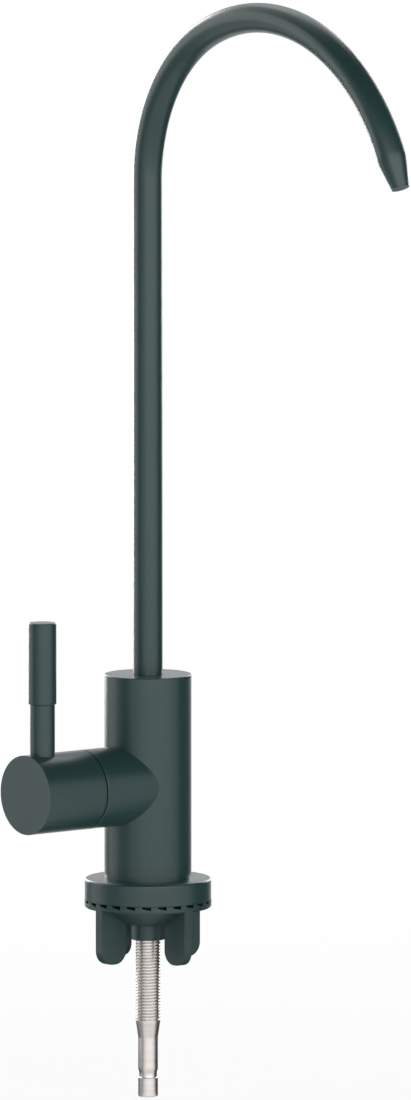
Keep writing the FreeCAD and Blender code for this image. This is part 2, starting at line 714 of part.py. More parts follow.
def make_spindle():
    driver = "sizes.driver_diameter / 2"
    driver_end = f"{DRIVER_START} + sizes.driver_height"
    clip_base = "sizes.clip_inner_diameter / 2 - sizes.fitted_clearance"
    clip_width = "(sizes.clip_thickness + 2 * sizes.fitted_clearance)"
    corners = [("0", DRIVER_START), (driver, DRIVER_START), (driver, driver_end)]
    corners += [(SPINDLE_RADIUS, driver_end)]
    for rise in ("sizes.spindle_o_ring_inner_rise", "sizes.spindle_o_ring_outer_rise"):
        corners += o_ring_groove(SPINDLE_RADIUS, SPINDLE_BORE_RADIUS, "sizes.spindle_o_ring_section",
                                 f"({HOUSING_SHOULDER} + {rise})")
    corners += groove(SPINDLE_RADIUS, clip_base, CLIP_CENTRE, clip_width)
    corners += [(SPINDLE_RADIUS, SPINDLE_SHAFT_END), ("0", SPINDLE_SHAFT_END)]
    shaft = turned("spindle_shaft", corners)
    tongue = block("spindle_tongue", "sizes.tongue_width", "sizes.tongue_length",
                   f"({DRIVER_START} - sizes.tongue_depth)", DRIVER_START)
    square = block("spindle_square_head", "sizes.spindle_square", "sizes.spindle_square",
                   SPINDLE_SHAFT_END, SQUARE_END)
    return on_branch(joined("spindle", [shaft, tongue, square]))


def make_spindle_o_rings():
    section = "sizes.spindle_o_ring_section"
    centre = o_ring_centre(SPINDLE_BORE_RADIUS, section)
    return [on_branch(o_ring(f"spindle_o_ring_{side}", centre, section),
                      f"({HOUSING_SHOULDER} + sizes.spindle_o_ring_{side}_rise)")
            for side in ("inner", "outer")]


def make_glide_ring():
    return on_branch(ring("glide_ring", SPINDLE_BORE_RADIUS, DISC_RADIUS, GLIDE_RING_START,
                          f"{GLIDE_RING_START} + sizes.glide_ring_thickness"))


def make_spindle_clip():
    return on_branch(ring("spindle_clip", "sizes.clip_inner_diameter / 2", "sizes.clip_outer_diameter / 2",
                          f"{CLIP_CENTRE} - sizes.clip_thickness / 2",
                          f"{CLIP_CENTRE} + sizes.clip_thickness / 2",
                          angle=f"{FULL_TURN} - sizes.clip_gap_angle"))


# Handle: drum, its ring and insert, set screw, rod and grip

def make_handle_hub():
    cavity = "sizes.hub_cavity_diameter / 2"
    spigot = "sizes.hub_spigot_diameter / 2"
    socket = "sizes.adapter_diameter / 2 + sizes.fitted_clearance"
    start = f"{HUB_START} + sizes.hub_spigot_recess"
    drum = on_branch(turned("handle_drum", [
        (cavity, start),
        (spigot, start),
        (spigot, HUB_RING_END),
        (BRANCH_RADIUS, HUB_RING_END),
        (BRANCH_RADIUS, HUB_END),
        ("0", HUB_END),
        ("0", ADAPTER_END),
        (socket, ADAPTER_END),
        (socket, CAVITY_END),
        (cavity, CAVITY_END),
    ]))
    above = f"(sizes.branch_axis_height + {BRANCH_RADIUS} + sizes.overrun)"
    below = f"(sizes.branch_axis_height - {BRANCH_RADIUS} - sizes.overrun)"
    seat = rod("lever_seat", "sizes.lever_rod_diameter / 2 + sizes.fitted_clearance",
               LEVER_SEAT, above, across=f"-{LEVER_OFFSET}")
    tapped = rod("lever_hole", "sizes.lever_tenon_diameter / 2 + sizes.thread_clearance",
                 LEVER_TENON_END, above, across=f"-{LEVER_OFFSET}")
    grub_hole = rod("grub_hole", f"{GRUB_SCREW_RADIUS} + sizes.thread_clearance",
                    below, "sizes.branch_axis_height", across=f"-{GRUB_SCREW_OFFSET}")
    return cut("handle_hub", drum, joined("handle_holes", [seat, tapped, grub_hole]))


def make_hub_ring():
    return on_branch(ring("hub_ring", "sizes.hub_spigot_diameter / 2 + sizes.fitted_clearance", BRANCH_RADIUS,
                          HUB_START, HUB_RING_END))


def make_handle_adapter():
    blank = rod("adapter_blank", "sizes.adapter_diameter / 2", CAVITY_END, ADAPTER_END)
    side = "(sizes.spindle_square + 2 * sizes.fitted_clearance)"
    square = block("adapter_square", side, side,
                   f"({CAVITY_END} - sizes.overrun)", f"({SQUARE_END} + sizes.mouth_gap)")
    socket = on_branch(cut("adapter_socket", blank, square))
    grub_hole = rod("adapter_grub_hole", f"{GRUB_SCREW_RADIUS} + sizes.thread_clearance",
                    "(sizes.branch_axis_height - sizes.adapter_diameter)", "sizes.branch_axis_height",
                    across=f"-{GRUB_SCREW_OFFSET}")
    return cut("handle_adapter", socket, grub_hole)


def make_handle_grub_screw():
    top = "(sizes.branch_axis_height - sizes.spindle_square / 2 - sizes.film)"
    bottom = f"({top} - sizes.grub_screw_length)"
    across = f"-{GRUB_SCREW_OFFSET}"
    screw = rod("grub_screw_blank", GRUB_SCREW_RADIUS, bottom, top, across=across)
    socket = doc.addObject("Part::Prism", "grub_screw_socket")
    socket.Polygon = HEXAGON_SIDES
    drive(socket, Circumradius="sizes.grub_socket_across_corners / 2",
          Height="sizes.grub_socket_depth + sizes.overrun")
    place(socket, across, height=f"{bottom} - sizes.overrun")
    return cut("handle_grub_screw", screw, socket)


def make_lever_rod():
    tenon = "sizes.lever_tenon_diameter / 2"
    shaft = "sizes.lever_rod_diameter / 2"
    core = "sizes.grip_core_diameter / 2"
    lever = turned("lever_rod", [
        ("0", LEVER_TENON_END),
        (tenon, LEVER_TENON_END),
        (tenon, LEVER_SEAT),
        (shaft, LEVER_SEAT),
        (shaft, GRIP_BOTTOM),
        (core, GRIP_BOTTOM),
        (core, GRIP_CORE_TOP),
        ("0", GRIP_CORE_TOP),
    ])
    return place(lever, across=f"-{LEVER_OFFSET}")


def make_lever_grip():
    outer = "sizes.grip_diameter / 2"
    bore = "sizes.grip_core_diameter / 2 + sizes.fitted_clearance"
    bore_top = f"{GRIP_CORE_TOP} + sizes.fitted_clearance"
    grip = turned("lever_grip", [
        (bore, GRIP_BOTTOM),
        (f"{outer} - sizes.grip_chamfer", GRIP_BOTTOM),
        (outer, f"{GRIP_BOTTOM} + sizes.grip_chamfer"),
        (outer, f"{GRIP_TOP} - sizes.grip_chamfer"),
        (f"{outer} - sizes.grip_chamfer", GRIP_TOP),
        ("0", GRIP_TOP),
        ("0", bore_top),
        (bore, bore_top),
    ])
    return place(grip, across=f"-{LEVER_OFFSET}")


# Clamping pieces under the deck

def make_toothed_washer():
    washer = ring("toothed_washer", f"{THREAD_RADIUS} + sizes.shank_hole_clearance",
                  WASHER_RADIUS, WASHER_BOTTOM, "0")
    half_width = "sizes.tooth_notch_width / 2"
    notch = washer.newObject("PartDesign::Pocket", "tooth_notch")
    notch.Profile = outline(washer, "YZ_Plane", [
        (f"-{half_width}", "-sizes.tooth_notch_start_depth"),
        (half_width, "-sizes.tooth_notch_depth"),
        (half_width, "sizes.overrun"),
        (f"-{half_width}", "sizes.overrun"),
    ], name="notch_outline")
    notch.Profile[0].setExpression("AttachmentOffset.Base.z", "sizes.tooth_inner_radius")
    notch.setExpression("Length", WASHER_RADIUS)
    notch.Reversed = True
    washer.Tip = notch
    doc.recompute()
    teeth = washer.newObject("PartDesign::PolarPattern", "teeth")
    teeth.Originals = [notch]
    upright = next(part for part in washer.Origin.OriginFeatures if part.Role == "Z_Axis")
    teeth.Axis = (upright, [""])
    teeth.Angle = FULL_TURN
    teeth.setExpression("Occurrences", "sizes.tooth_count")
    washer.Tip = teeth
    return turn_by(washer, ALONG_Z, "sizes.tooth_phase")


def make_wing_nut():
    bore = f"{THREAD_RADIUS} + sizes.running_clearance"
    rim = WASHER_RADIUS
    boss = "sizes.nut_boss_diameter / 2"
    bowl_bottom = f"{NUT_RIM_BOTTOM} - sizes.nut_bowl_height"
    boss_bottom = f"{bowl_bottom} - sizes.nut_boss_length"
    nut = turned("wing_nut", [
        (bore, boss_bottom),
        (boss, boss_bottom),
        (boss, bowl_bottom),
        ("sizes.nut_bowl_foot_diameter / 2", bowl_bottom),
        ("sizes.nut_bowl_diameter / 2", NUT_RIM_BOTTOM),
        (f"{rim} - sizes.nut_rim_chamfer", NUT_RIM_BOTTOM),
        (rim, f"{NUT_RIM_BOTTOM} + sizes.nut_rim_chamfer"),
        (rim, WASHER_BOTTOM),
        (bore, WASHER_BOTTOM),
    ], arcs={3: "sizes.nut_bowl_radius"})
    inner = "sizes.nut_wing_inner_radius"
    corner = "sizes.nut_wing_corner_radius"
    wing_bottom = f"({NUT_RIM_BOTTOM} - sizes.nut_wing_height)"
    wing = nut.newObject("PartDesign::Pad", "wing")
    wing.Profile = outline(nut, "XZ_Plane", [
        (inner, WASHER_BOTTOM),
        (inner, f"{wing_bottom} + {corner}"),
        (f"{inner} + {corner}", wing_bottom),
        (f"{rim} - {corner}", wing_bottom),
        (rim, f"{wing_bottom} + {corner}"),
        (rim, WASHER_BOTTOM),
    ], arcs={1: corner, 3: corner}, name="wing_outline")
    wing.SideType = "Symmetric"
    wing.setExpression("Length", "sizes.nut_wing_thickness")
    nut.Tip = wing
    doc.recompute()
    wings = nut.newObject("PartDesign::PolarPattern", "wings")
    wings.Originals = [wing]
    upright = next(part for part in nut.Origin.OriginFeatures if part.Role == "Z_Axis")
    wings.Axis = (upright, [""])
    wings.Angle = FULL_TURN
    wings.setExpression("Occurrences", "sizes.nut_wing_count")
    nut.Tip = wings
    return nut


nodes = [
    make_valve_body(),
    make_base_flange(),
    make_flange_gasket(),
    make_shank(),
    make_shank_o_ring(),
    make_spout_tube(),
    make_spout_spigot(),
    *make_spout_o_rings(),
    make_spout_snap_ring(),
    make_spout_thrust_washer(),
    make_cartridge_housing(),
    make_cartridge_o_ring(),
    make_cartridge_nut(),
    make_seat_seal(),
    make_fixed_disc(),
    make_moving_disc(),
    make_spindle(),
    *make_spindle_o_rings(),
    make_glide_ring(),
    make_spindle_clip(),
    make_handle_hub(),
    make_hub_ring(),
    make_handle_adapter(),
    make_handle_grub_screw(),
    make_lever_rod(),
    make_lever_grip(),
    make_toothed_washer(),
    make_wing_nut(),
]
doc.recompute()

for feature in doc.Objects:
    if "Invalid" in feature.State or "Error" in feature.State:
        raise RuntimeError(f"{feature.Name} failed to recompute: {feature.State}")

for node in nodes:
    node.Label = node.Name
    shape = node.Shape
    if shape.isNull() or not shape.isValid() or len(shape.Solids) != 1:
        raise RuntimeError(f"{node.Label} has no valid single solid")

os.makedirs("parts", exist_ok=True)
for node in nodes:
    node.Shape.exportStep(f"parts/{node.Label}.step")
    box = node.Shape.BoundBox
    print(f"{node.Label:22s} volume {node.Shape.Volume:10.2f}  z {box.ZMin:8.2f} {box.ZMax:8.2f}"
          f"  x {box.XMin:8.2f} {box.XMax:8.2f}  y {box.YMin:8.2f} {box.YMax:8.2f}")
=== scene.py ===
import json
import math

import bmesh
import bpy
from mathutils import Matrix, Vector


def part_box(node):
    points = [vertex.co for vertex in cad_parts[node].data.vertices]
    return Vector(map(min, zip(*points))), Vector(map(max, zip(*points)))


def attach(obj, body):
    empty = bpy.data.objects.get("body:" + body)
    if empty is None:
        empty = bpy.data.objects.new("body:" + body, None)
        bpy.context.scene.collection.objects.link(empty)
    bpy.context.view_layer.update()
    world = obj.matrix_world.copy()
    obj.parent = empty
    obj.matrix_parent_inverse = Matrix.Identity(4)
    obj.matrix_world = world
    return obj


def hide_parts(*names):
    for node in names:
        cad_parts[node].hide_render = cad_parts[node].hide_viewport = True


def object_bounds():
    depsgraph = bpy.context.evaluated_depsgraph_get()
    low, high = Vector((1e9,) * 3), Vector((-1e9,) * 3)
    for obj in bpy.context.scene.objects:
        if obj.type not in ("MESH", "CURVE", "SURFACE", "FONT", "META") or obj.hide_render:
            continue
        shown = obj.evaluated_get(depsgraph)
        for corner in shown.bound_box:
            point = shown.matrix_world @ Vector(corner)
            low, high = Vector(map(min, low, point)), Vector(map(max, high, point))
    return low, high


# Deck-mounted drinking-water tap in a matt dark powder coat, with a bare steel shank.
# Origin: centre of the base flange's underside. +Z is up, the spout points to -Y, the handle to -X.

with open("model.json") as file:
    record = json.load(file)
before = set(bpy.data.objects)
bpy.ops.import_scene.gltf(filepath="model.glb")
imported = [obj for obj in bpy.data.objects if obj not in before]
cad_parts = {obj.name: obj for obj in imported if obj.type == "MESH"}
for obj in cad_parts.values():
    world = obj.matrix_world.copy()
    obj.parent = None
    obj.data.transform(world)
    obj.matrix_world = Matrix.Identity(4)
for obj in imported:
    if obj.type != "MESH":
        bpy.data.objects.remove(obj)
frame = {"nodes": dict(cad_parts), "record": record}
nodes = frame["nodes"]
cad_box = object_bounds()

MM = 0.001
X_AXIS = Vector((1, 0, 0))
Z_AXIS = Vector((0, 0, 1))
FULL_TURN = math.tau

# Camera, at the photograph's angle. Distances from it are in metres, its lens and its aim in millimetres.
VIEW_AZIMUTH = math.radians(-39.3)
VIEW_ELEVATION = math.radians(6.4)
VIEW_DISTANCE = 5.0
VIEW_HEIGHT = 113.0
VIEW_SHIFT_RIGHT = 18.5
VIEW_FAR_END = 20.0
LENS_LENGTH = 510.0

# Floor and air. The floor's own white takes over from its lit colour between two distances in metres.
FLOOR_REACH = 4.0
FLOOR_GAP = 0.2 * MM
FLOOR_ROUGHNESS = 0.8
FLOOR_SPECULAR = 0.2
FLOOR_GLOW_SHARE = 0.9
FLOOR_FADE_EDGE = (0.1, 0.6)
AMBIENT_LEVEL = 0.1

# The studio that glossy surfaces mirror: walls between two bearings, in degrees to the right of the camera,
# each with its level, a wall behind the object, and a light patch of ceiling. The way to the patch is its
# reach towards the camera, to the right and up.
STUDIO_WALLS = ((-45, 78, 1.0), (-118, -93, 1.0), (-93, -45, 0.4))
WALL_FADE = 15
LEFT_CEILING_WAY = (-0.5, -0.5, 0.7)
SHADE_LEVEL = 0.04

# How far a mirrored ray of length 1 reaches up, straight back or towards the ceiling patch where each edge of
# the studio starts and ends
WALL_TOP_EDGE = (0.4, 0.6)
BACK_WALL_EDGE = (0.8, 0.94)
LEFT_CEILING_EDGE = (0.8, 0.97)

# The floor's mirrored glow is darkened round the foot as painted shade, out to two distances in metres, but
# not in front of it
FOOT_SHADE_EDGE = (0.06, 0.2)
FOOT_FRONT_EDGE = (-0.3, 0.4)

# Colours, as linear red, green and blue
WHITE = (1, 1, 1, 1)
FLOOR_COLOUR = (0.86, 0.86, 0.86, 1)
SLATE = (0.023, 0.062, 0.060, 1)
SLATE_DARK = (0.020, 0.056, 0.054, 1)
PLASTIC = (0.021, 0.056, 0.054, 1)
STEEL = (0.74, 0.70, 0.67, 1)
BRASS = (0.72, 0.50, 0.22, 1)
CERAMIC = (0.86, 0.85, 0.80, 1)
RUBBER = (0.012, 0.012, 0.013, 1)
SLIP_PLASTIC = (0.74, 0.72, 0.66, 1)

# Unevenness of the skins: the span of a noise that counts, scales in cycles per metre, a depth in
# millimetres, how far lathe lines shift the roughness, and the share of a colour that its dark patches keep
NOISE_SPAN = (0.3, 0.7)
LINE_SPAN = (0.25, 0.75)
LINE_SCALE = 14000.0
STREAK_SCALE = 700.0
LINE_DEPTH = 0.006
LINE_SMOOTHER = -0.06
LINE_ROUGHER = 0.08
SMALL_PATCH_SCALE = 200.0
PLASTIC_SHADE = 0.85
METAL_SHADE = 0.86
SKIN_SHADE = 0.88

# Sizes in millimetres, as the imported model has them
BODY_RADIUS = 14.0
BODY_CHAMFER = 0.5
FOOT_RADIUS = 12.0
FOOT_SEAT_HEIGHT = 2.0
BRANCH_HEIGHT = 37.7
BRANCH_DIAMETER = 25.5
FLANGE_DIAMETER = 40.7
FLANGE_HOLE_RADIUS = 4.3
GASKET_BORE_RADIUS = 14.0
GASKET_RADIUS = 18.0
GASKET_THICKNESS = 1.5
FITTED_PLAY = 0.03
SPOUT_RADIUS = 4.75
SPOUT_WALL = 1.0
TUBE_START = 69.02
ARCH_START = 233.0
NEAR_RADIUS = 53.4
NEAR_TURN = 66.3
FAR_RADIUS = 68.2
ARCH_TURN = 155.3
NEAR_REACH = NEAR_RADIUS
FAR_REACH = NEAR_RADIUS - (NEAR_RADIUS - FAR_RADIUS) * math.cos(math.radians(NEAR_TURN))
FAR_HEIGHT = ARCH_START + (NEAR_RADIUS - FAR_RADIUS) * math.sin(math.radians(NEAR_TURN))
NOZZLE_LENGTH = 10.9
NOZZLE_TIP_RADIUS = 2.9
NOZZLE_BORE_RADIUS = 1.9
LEVER_PLACE = -43.4
RING_BORE_RADIUS = 11.53
TENON_RADIUS = 3.0
TENON_LENGTH = 6.0
ROD_RADIUS = 4.0
SLEEVE_RADIUS = 4.5
SHANK_BORE_RADIUS = 2.15
STEM_RADIUS = 3.175
STEM_GROOVE_RADIUS = 2.85
STEM_GROOVE_LOW = -57.8
STEM_GROOVE_HIGH = -56.0
STEM_SHOULDER = -55.1
CONE_LOW = -44.7
THREAD_LOW = -39.0
THREAD_CREST = 4.0
THREAD_PITCH = 1.0

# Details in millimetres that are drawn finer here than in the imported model. The spout is a hair slimmer, so
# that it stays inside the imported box. The taper gives shares of the nozzle's length and of its narrowing.
CRISP_CHAMFER = 0.2
SPOUT_PLAY = 0.02
NOZZLE_TAPER = ((0.05, 0.008), (0.12, 0.045), (0.2, 0.115), (0.3, 0.225), (0.5, 0.455), (0.93, 0.955),
                (0.975, 0.99), (1.0, 1.0))
MOUTH_RADIUS = 2.5
MOUTH_SEAT_SHARE = 0.86
SEAM_LIP = 0.34
SEAM_LIP_WIDTH = 0.4
THREAD_ROOT = 3.6
THREAD_LEAD_IN = 0.2
THREAD_SINK = 0.05
CREST_WIDTH = 0.4

# How far edges and inner corners are rounded, in millimetres
SEAM_ROUNDING = 0.35
BROKEN_EDGE = 0.1
CASING_EDGE = 0.12
GASKET_GROOVE_EDGE = 0.15
FLANGE_FOOT_EDGE = 0.25
FLANGE_TOP_EDGE = 0.8
DRUM_EDGE = 0.18
RING_EDGE = 0.06
RING_BORE_EDGE = 0.05
TENON_EDGE = 0.2
ROD_EDGE = 0.15
SLEEVE_EDGE = 0.5
STEM_END_EDGE = 0.4
STEM_GROOVE_EDGE = 0.08
STEM_GROOVE_CORNER = 0.24
STEM_GROOVE_BEND = 0.2
STEM_SHOULDER_EDGE = 0.3
CONE_FOOT_BEND = 0.4
THREAD_ROOT_BEND = 0.05
WASHER_EDGE = 0.12
WING_EDGE = 0.45

# How finely the modelled pieces are divided
ROUND_STEPS = 128
ROUNDING_STEPS = 4
SEAM_STEPS = 8
TUBE_SIDES = 64
ARCH_STEP = 1.5
THREAD_STEPS = 40
MERGE_DISTANCE = 0.001 * MM
FLAT_ANGLE = 0.3


# Shader node groups

def new_group(name, inputs, outputs):
    """A shader node group with float inputs and outputs of the kinds named."""
    group = bpy.data.node_groups.new(name, "ShaderNodeTree")
    for label, start in inputs:
        socket = group.interface.new_socket(label, in_out="INPUT", socket_type="NodeSocketFloat")
        socket.default_value = start
    for label, kind in outputs:
        group.interface.new_socket(label, in_out="OUTPUT", socket_type=kind)
    return group, group.nodes.new("NodeGroupInput"), group.nodes.new("NodeGroupOutput")


def add_noise(tree, vector, scale, detail=2.0, roughness=0.5):
    """A noise texture, its scale a socket that gives cycles per metre."""
    noise = tree.nodes.new("ShaderNodeTexNoise")
    noise.inputs["Detail"].default_value = detail
    noise.inputs["Roughness"].default_value = roughness
    tree.links.new(vector, noise.inputs["Vector"])
    tree.links.new(scale, noise.inputs["Scale"])
    return noise.outputs["Fac"]


def add_math(tree, operation, *values):
    """A math node on sockets or plain numbers."""
    node = tree.nodes.new("ShaderNodeMath")
    node.operation = operation
    for socket, number in zip(node.inputs, values):
        if isinstance(number, (int, float)):
            socket.default_value = number
        else:
            tree.links.new(number, socket)
    return node.outputs[0]


def add_range(tree, number, low, high, new_low, new_high):
    """A value carried from one range to another."""
    node = tree.nodes.new("ShaderNodeMapRange")
    for label, start in (("From Min", low), ("From Max", high), ("To Min", new_low), ("To Max", new_high)):
        node.inputs[label].default_value = start
    tree.links.new(number, node.inputs["Value"])
    return node.outputs["Result"]


def make_fine_texture():
    """Tiny uneven relief and slow patches, as on sprayed or moulded skins."""
    group, given, result = new_group(
        "fine_texture",
        [("Grain Scale", 3000.0), ("Patch Scale", 60.0)],
        [("Height", "NodeSocketFloat"), ("Patches", "NodeSocketFloat")])
    place = group.nodes.new("ShaderNodeTexCoord").outputs["Object"]
    grain = add_noise(group, place, given.outputs["Grain Scale"], detail=3.0, roughness=0.55)
    patches = add_noise(group, place, given.outputs["Patch Scale"], detail=3.0)
    group.links.new(grain, result.inputs["Height"])
    group.links.new(patches, result.inputs["Patches"])
    return group


def make_lathe_lines():
    """Fine lines and broader streaks round the Z or X axis, as a turning tool leaves them."""
    group, given, result = new_group(
        "lathe_lines",
        [("Line Scale", LINE_SCALE), ("Streak Scale", STREAK_SCALE), ("Along X", 0.0)],
        [("Height", "NodeSocketFloat"), ("Streaks", "NodeSocketFloat")])
    place = group.nodes.new("ShaderNodeTexCoord").outputs["Object"]
    parts = group.nodes.new("ShaderNodeSeparateXYZ")
    group.links.new(place, parts.inputs[0])
    upright = add_math(group, "SUBTRACT", 1.0, given.outputs["Along X"])
    along = add_math(group, "MULTIPLY", parts.outputs["X"], given.outputs["Along X"])
    along = add_math(group, "MULTIPLY_ADD", parts.outputs["Z"], upright, along)
    line_place = group.nodes.new("ShaderNodeCombineXYZ")
    group.links.new(along, line_place.inputs["Z"])
    lines = add_noise(group, line_place.outputs[0], given.outputs["Line Scale"])
    streaks = add_noise(group, line_place.outputs[0], given.outputs["Streak Scale"])
    group.links.new(lines, result.inputs["Height"])
    group.links.new(streaks, result.inputs["Streaks"])
    return group


fine_texture = make_fine_texture()
lathe_lines = make_lathe_lines()


# Materials

def new_material(name, colour, roughness, metallic=0.0, specular=0.5):
    """A plain Principled material, with its node tree and shader."""
    material = bpy.data.materials.new(name)
    material.use_nodes = True
    tree = material.node_tree
    shader = tree.nodes["Principled BSDF"]
    shader.inputs["Base Color"].default_value = colour
    shader.inputs["Roughness"].default_value = roughness
    shader.inputs["Metallic"].default_value = metallic
    shader.inputs["Specular IOR Level"].default_value = specular
    return material, tree, shader


def darkened(colour, share):
    """A colour of which only a share is left."""
    return [channel * share for channel in colour[:3]] + [1]


def add_group(tree, group, **values):
    """A node group placed in a material with its own values."""
    node = tree.nodes.new("ShaderNodeGroup")
    node.node_tree = group
    for label, number in values.items():
        node.inputs[label.replace("_", " ")].default_value = number
    return node


def blend_colours(tree, mask, first, second, shader):
    """Base colour between two colours by a mask."""
    mix = tree.nodes.new("ShaderNodeMix")
    mix.data_type = "RGBA"
    mix.inputs["A"].default_value = first
    mix.inputs["B"].default_value = second
    tree.links.new(mask, mix.inputs["Factor"])
    tree.links.new(mix.outputs["Result"], shader.inputs["Base Color"])


def add_relief(tree, height, depth, shader):
    """A bump of a real depth in millimetres."""
    bump = tree.nodes.new("ShaderNodeBump")
    bump.inputs["Distance"].default_value = depth * MM
    bump.inputs["Strength"].default_value = 1.0
    tree.links.new(height, bump.inputs["Height"])
    tree.links.new(bump.outputs["Normal"], shader.inputs["Normal"])


def make_skin(name, colour, dark, roughness, rougher, smoother, grain, depth, patch=SMALL_PATCH_SCALE):
    """A sprayed, moulded or lapped skin: its own fine grain, and slow patches of a darker, duller tone."""
    material, tree, shader = new_material(name, colour, roughness)
    skin = add_group(tree, fine_texture, Grain_Scale=grain, Patch_Scale=patch)
    patches = add_range(tree, skin.outputs["Patches"], *NOISE_SPAN, 0.0, 1.0)
    blend_colours(tree, patches, dark, colour, shader)
    gloss = add_range(tree, skin.outputs["Patches"], *NOISE_SPAN, roughness + rougher, roughness + smoother)
    tree.links.new(gloss, shader.inputs["Roughness"])
    add_relief(tree, skin.outputs["Height"], depth, shader)
    return material


def make_turned_metal(name, colour, roughness, along_x=0.0):
    """Turned metal with fine lathe lines round its axis and darker streaks."""
    material, tree, shader = new_material(name, colour, roughness, metallic=1.0)
    lines = add_group(tree, lathe_lines, Along_X=along_x)
    streaks = add_range(tree, lines.outputs["Streaks"], *NOISE_SPAN, 0.0, 1.0)
    blend_colours(tree, streaks, darkened(colour, METAL_SHADE), colour, shader)
    gloss = add_range(tree, lines.outputs["Height"], *LINE_SPAN, roughness + LINE_SMOOTHER,
                      roughness + LINE_ROUGHER)
    tree.links.new(gloss, shader.inputs["Roughness"])
    add_relief(tree, lines.outputs["Height"], LINE_DEPTH, shader)
    return material


finishes = {
    "dark_coating": make_skin("powder_coat", SLATE, SLATE_DARK, roughness=0.3, rougher=0.02, smoother=-0.02,
                              grain=2600.0, depth=0.012, patch=45.0),
    "black_plastic": make_skin("moulded_plastic", PLASTIC, darkened(PLASTIC, PLASTIC_SHADE), roughness=0.42,
                               rougher=0.04, smoother=-0.06, grain=4200.0, depth=0.02, patch=90.0),
    "stainless": make_turned_metal("turned_steel", STEEL, roughness=0.3),
    "brass": make_turned_metal("turned_brass", BRASS, roughness=0.28, along_x=1.0),
    "ceramic": make_skin("lapped_ceramic", CERAMIC, darkened(CERAMIC, SKIN_SHADE), roughness=0.22,
                         rougher=0.05, smoother=-0.04, grain=6000.0, depth=0.002),
    "rubber": make_skin("seal_rubber", RUBBER, darkened(RUBBER, SKIN_SHADE), roughness=0.5,
                        rougher=0.05, smoother=-0.04, grain=5000.0, depth=0.006),
    "pale_plastic": make_skin("slip_plastic", SLIP_PLASTIC, darkened(SLIP_PLASTIC, SKIN_SHADE), roughness=0.4,
                              rougher=0.05, smoother=-0.04, grain=3500.0, depth=0.006),
}
slot_of = {row["node"]: row["material_slot"] for row in frame["record"]["subparts"]}
for name, node in nodes.items():
    node.data.materials.clear()
    node.data.materials.append(finishes[slot_of[name]])


# Helpers for the modelled pieces

def height_of(node):
    """The lowest and highest point of a node, in millimetres."""
    low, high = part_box(node)
    return low.z / MM, high.z / MM


def reach_of(node):
    """The near and far end of a node on the branch, in millimetres from the body's axis."""
    low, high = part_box(node)
    return -high.x / MM, -low.x / MM


def on_branch():
    """Lays a piece that was made upright along the branch, its top outwards."""
    return Matrix.Translation(Z_AXIS * BRANCH_HEIGHT * MM) @ Matrix.Rotation(-math.pi / 2, 4, "Y")


def verts_of(geometry):
    """The vertices in what an operator gives back."""
    return [item for item in geometry if isinstance(item, bmesh.types.BMVert)]


def edges_of(geometry):
    """The edges in what an operator gives back."""
    return [item for item in geometry if isinstance(item, bmesh.types.BMEdge)]


def ends_of(edges):
    """The vertices at the ends of some edges, each one once and in order."""
    return list(dict.fromkeys(vert for edge in edges for vert in edge.verts))


def turned(corners):
    """A shape turned about Z from corners in millimetres: radius, height and how far its edge is rounded."""
    bm = bmesh.new()
    verts = [bm.verts.new((radius * MM, 0, height * MM)) for radius, height, _ in corners]
    followers = verts[1:]
    if corners[0][0] > 0:
        followers.append(verts[0])
    for first, last in zip(verts, followers):
        bm.edges.new((first, last))
    for vert, (_, _, rounding) in zip(verts, corners):
        if rounding:
            bmesh.ops.bevel(bm, geom=[vert], offset=rounding * MM, offset_type="OFFSET", affect="VERTICES",
                            segments=ROUNDING_STEPS, profile=0.5, material=-1)
    bmesh.ops.spin(bm, geom=bm.verts[:] + bm.edges[:], axis=Z_AXIS, cent=(0, 0, 0), dvec=(0, 0, 0),
                   angle=FULL_TURN, steps=ROUND_STEPS, use_merge=True)
    bmesh.ops.remove_doubles(bm, verts=bm.verts, dist=MERGE_DISTANCE)
    bmesh.ops.recalc_face_normals(bm, faces=bm.faces)
    return bm


def finish(bm, name, body, slot, *replaced, sharp=32):
    """A mesh object from a bmesh, shaded, riding on its body and standing for its nodes."""
    mesh = bpy.data.meshes.new(name)
    bm.to_mesh(mesh)
    bm.free()
    mesh.materials.append(finishes[slot])
    mesh.shade_smooth()
    mesh.set_sharp_from_angle(angle=math.radians(sharp))
    piece = bpy.data.objects.new(name, mesh)
    bpy.context.scene.collection.objects.link(piece)
    shading = piece.modifiers.new("even_shading", "WEIGHTED_NORMAL")
    shading.keep_sharp = True
    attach(piece, body)
    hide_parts(*replaced)
    return piece


def merged_copy(node):
    """A bmesh of a node's own surface, its triangles joined up."""
    bm = bmesh.new()
    bm.from_mesh(nodes[node].data)
    bmesh.ops.remove_doubles(bm, verts=bm.verts, dist=MERGE_DISTANCE)
    bmesh.ops.dissolve_limit(bm, angle_limit=math.radians(FLAT_ANGLE), verts=bm.verts, edges=bm.edges)
    return bm


def soften_edges(piece, width, segments=3, angle=14):
    """Rounds the sharp edges of a piece by a width in millimetres."""
    bevel = piece.modifiers.new("edge_rounding", "BEVEL")
    bevel.width = width * MM
    bevel.segments = segments
    bevel.limit_method = "ANGLE"
    bevel.angle_limit = math.radians(angle)
    bevel.miter_outer = "MITER_ARC"
    bevel.use_clamp_overlap = True
    piece.modifiers.move(len(piece.modifiers) - 1, 0)


# Modelled pieces

